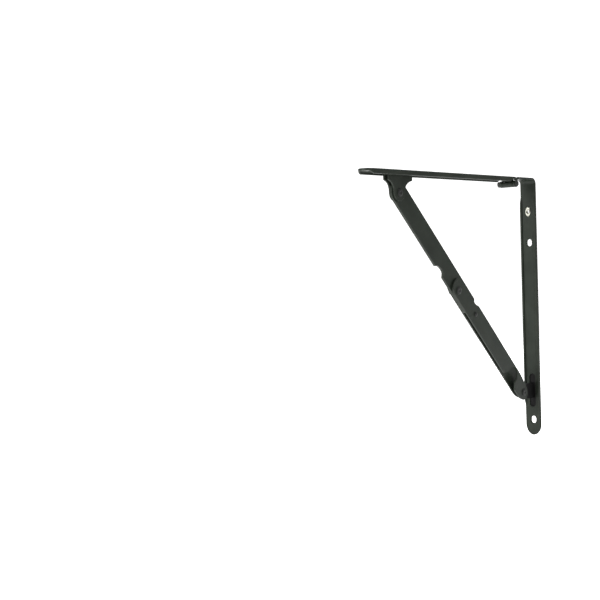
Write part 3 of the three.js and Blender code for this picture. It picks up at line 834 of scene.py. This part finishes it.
def make_upper_link():
    """A flat plate, round at the clevis, notched in its outer edge and square at its tail."""
    middle_n, radius = (LINK_CORNER - LINK_OUTER) / 2, (LINK_CORNER + LINK_OUTER) / 2
    outline = points_on(CLEVIS, arc((0.0, middle_n), radius, 270, 90, 24))
    outer = -LINK_OUTER
    outline += blunt([
        (0.0, LINK_CORNER, 0.0),
        (TAIL - 1.8 * MM, LINK_CORNER, 1 * MM),
        (TAIL, LINK_CORNER - 1.8 * MM, 1 * MM),
        (TAIL, outer + 4 * MM, 2 * MM),
        (TAIL - 4 * MM, outer, 2 * MM),
        (0.0, outer, 0.0),
    ])
    outline += blunt([
        (-NOTCH_TO, outer, 0.5 * MM),
        (-NOTCH_TO - 2.6 * MM, outer + NOTCH_DEPTH - 0.6 * MM, 1.6 * MM),
        (-NOTCH_TO - 6 * MM, outer + NOTCH_DEPTH, 4 * MM),
        (-NOTCH_FROM + 5 * MM, outer + NOTCH_DEPTH - 0.8 * MM, 4 * MM),
        (-NOTCH_FROM + 1.6 * MM, outer + 1.4 * MM, 2 * MM),
        (-NOTCH_FROM, outer, 0.6 * MM),
    ])
    link = prism("upper_link_plate", outline, -LINK_FACE, LINK_FACE, side)
    bore(link, CLEVIS)
    bore(link, KNEE)
    dress(link, PAINT, "upper_link", ["upper_link"])


# ---- Lower link: a folded channel, open away from the corner ----
# Starts are measured from the elbow, and ends from the foot.
WEB_START, WEB_END = 54 * MM, 56 * MM
BACK_START, BACK_END = 29 * MM, 17 * MM
NEAR_EDGE = 8.8 * MM
FAR_EDGE = 5.9 * MM
FAR_RISE = 4.2 * MM
HEAD_ROUND = 10 * MM
CHANNEL_BACK = 9.1 * MM
BITE_RADIUS = 8.0 * MM
# Folded flat, the clevis's pivot comes to lie this far from the foot's.
FOLDED_SPAN = 26.0 * MM


def flange_outline(edge, rise):
    """A flange of the channel, out to its edge; rise lifts its corner side by the bite."""
    end, back = LOWER_LENGTH, CHANNEL_BACK
    corners = [
        (0.0, -edge, 0.0),
        (end - 3 * MM, -edge, 3 * MM),
        (end + 4.5 * MM, -edge + 2.2 * MM, 3 * MM),
        (end + 7 * MM, -edge + 6 * MM, 3 * MM),
        (end + 7 * MM, 3 * MM, 3 * MM),
        (end + 2 * MM, back - 2.5 * MM, 4 * MM),
        (end - BACK_END, back + rise, 4 * MM),
    ]
    if rise:
        corners.append((end - WEB_END, back + rise, 4 * MM))
        corners.append((end - WEB_END - 2 * rise, back, 4 * MM))
    corners += [
        (BACK_START + 4 * MM, back, 2 * MM),
        (BACK_START, back - 2.2 * MM, 2 * MM),
        (0.0, back - 1.4 * MM, 0.0),
    ]
    shoulder = back - 1.4 * MM
    head = curve((0.0, shoulder), (-HEAD_ROUND, shoulder), (-HEAD_ROUND, 0.0))
    head += curve((-HEAD_ROUND, 0.0), (-HEAD_ROUND, -edge), (0.0, -edge))[:-1]
    return blunt(corners) + points_on(ELBOW, head)


def bite_outline():
    """The bite in the near flange, where the end of the clevis comes to lie when folded."""
    centre = FOOT.lerp(KNEE, FOLDED_SPAN / (KNEE - FOOT).length)
    radius, edge = BITE_RADIUS, -NEAR_EDGE - PAST
    flare = [
        (radius + 0.4 * MM, -3 * MM),
        (radius + 2.4 * MM, -5.5 * MM),
        (radius + 6 * MM, edge),
        (-radius - 6 * MM, edge),
        (-radius - 2.4 * MM, -5.5 * MM),
        (-radius - 0.4 * MM, -3 * MM),
    ]
    return points_on(centre, arc((0, 0), radius, 180, 0, 24) + flare)


def make_lower_link():
    near_outline = flange_outline(NEAR_EDGE, 0.0)
    link = prism("lower_link_channel", near_outline, NEAR_INNER, NEAR_OUTER, side)
    near_cut = (0.0, NEAR_OUTER + PAST, side)
    cut(link, prism("bite", bite_outline(), *near_cut))
    inner = CHANNEL_BACK - THIN_SHEET
    web = points_on(ELBOW, [
        (WEB_START, inner),
        (LOWER_LENGTH - WEB_END, inner),
        (LOWER_LENGTH - WEB_END, CHANNEL_BACK),
        (WEB_START, CHANNEL_BACK),
    ])
    join(link, prism("far", flange_outline(FAR_EDGE, FAR_RISE), FAR_OUTER, FAR_INNER, side))
    join(link, prism("web", web, FAR_OUTER, NEAR_OUTER, side))
    bore(link, KNEE)
    bore(link, FOOT)
    cut(link, prism("hole", circle(BUTTON, 1.75 * MM, 24), *near_cut))
    dress(link, PAINT, "lower_link", ["lower_link"], edge=0.45 * MM)


# ---- Rivets across the brace ----
HEAD_FACE = NEAR_OUTER + HEAD_GAP
SHANK = 2.45 * MM
# How far a stub of the knee's rivet stops short of the inside of its flange.
STUB_INSET = 0.12 * MM


def near_head(face):
    """A low domed head with a dimple, from its rim in to the axis."""
    return [
        (3.55 * MM, face),
        (3.58 * MM, face + 0.2 * MM),
        (3.3 * MM, face + 0.5 * MM),
        (2.7 * MM, face + 0.76 * MM),
        (2.0 * MM, face + 0.88 * MM),
        (1.4 * MM, face + 0.88 * MM),
        (1.1 * MM, face + 0.74 * MM),
        (0.75 * MM, face + 0.56 * MM),
        (0.0, face + 0.52 * MM),
    ]


def far_head(face):
    """The upset far end, from the axis out to its rim."""
    return [
        (0.0, face - 0.88 * MM),
        (2.2 * MM, face - 0.86 * MM),
        (3.1 * MM, face - 0.65 * MM),
        (3.5 * MM, face - 0.3 * MM),
        (3.55 * MM, face),
    ]


def make_brace_rivets():
    """The rivets at the clevis and the foot, and the two stubs of the one at the knee."""
    near = [(SHANK, HEAD_FACE)] + near_head(HEAD_FACE)
    far_face = FAR_OUTER - HEAD_GAP
    far = far_head(far_face) + [(SHANK, far_face)]
    flush = -NEAR_OUTER + 0.02 * MM
    near_end, far_end = NEAR_INNER + STUB_INSET, FAR_INNER - STUB_INSET
    rivets = [
        ("clevis_pivot_rivet", "arm", CLEVIS, [(0.0, flush), (SHANK, flush)] + near),
        ("foot_pivot_rivet", "leg", FOOT, far + near),
        ("knee_rivet_near", "lower_link", KNEE, [(0.0, near_end), (SHANK, near_end)] + near),
        ("knee_rivet_far", "lower_link", KNEE, far + [(SHANK, far_end), (0.0, far_end)]),
    ]
    for node, body, place, profile in rivets:
        rivet = revolve(node + "_set", profile, across(place))
        dress(rivet, RIVET, body, [node], edge=0)


def make_button():
    face = NEAR_OUTER + 0.2 * MM
    profile = [
        (0.0, NEAR_INNER + STUB_INSET),
        (1.45 * MM, NEAR_INNER + STUB_INSET),
        (1.45 * MM, face),
        (2.25 * MM, face),
        (2.25 * MM, face + 0.3 * MM),
        (1.95 * MM, face + 0.62 * MM),
        (1.2 * MM, face + 0.9 * MM),
        (0.0, face + 0.98 * MM),
    ]
    button = revolve("detent_button_set", profile, across(BUTTON), steps=32)
    dress(button, RIVET, "lower_link", ["detent_button"], edge=0)


# ---- Foot lug ----
LUG_TAB = 7.5 * MM
LUG_ROUND = 6.5 * MM
LUG_BACK, PAD_FACE = 0.25 * MM, 0.95 * MM


def make_lug():
    """A tab that holds the foot's rivet, and a pad that fills the leg's slot behind it; both
    painted shade.
    """
    foot_x, foot_z = FOOT
    low, high = foot_z - LUG_TAB, foot_z + LUG_TAB
    neck_x, bend_x, bend = 3 * MM, 9 * MM, LUG_ROUND + 1 * MM
    outline = [(LUG_BACK, low), (neck_x, low)]
    outline += curve((neck_x, low), (bend_x, foot_z - bend), (foot_x, foot_z - LUG_ROUND))
    outline += arc(FOOT, LUG_ROUND, -90, 90, 24)[1:]
    outline += curve((foot_x, foot_z + LUG_ROUND), (bend_x, foot_z + bend), (neck_x, high))
    outline += [(LUG_BACK, high)]
    lug = prism("foot_lug_tab", outline, -LINK_FACE, LINK_FACE, side)
    bore(lug, FOOT)
    dress(lug, PAINTED_SHADE, "leg", ["foot_lug"], edge=STRAP_EDGE)
    width, length = (size - 0.04 * MM for size in LUG_SLOT)
    pad = prism("foot_lug_pad", obround(0, foot_z, width, length), LUG_BACK, PAD_FACE, front)
    # The pad's dark coat is painted shade inside the slot.
    dress(pad, PAINTED_SHADE, "leg", [], edge=0)


# ---- The bracket ----
make_leg()
make_eyelet()
make_hinge_pin()
make_arm()
make_clevis()
make_clevis_rivets()
make_upper_link()
make_lower_link()
make_brace_rivets()
make_button()
make_lug()
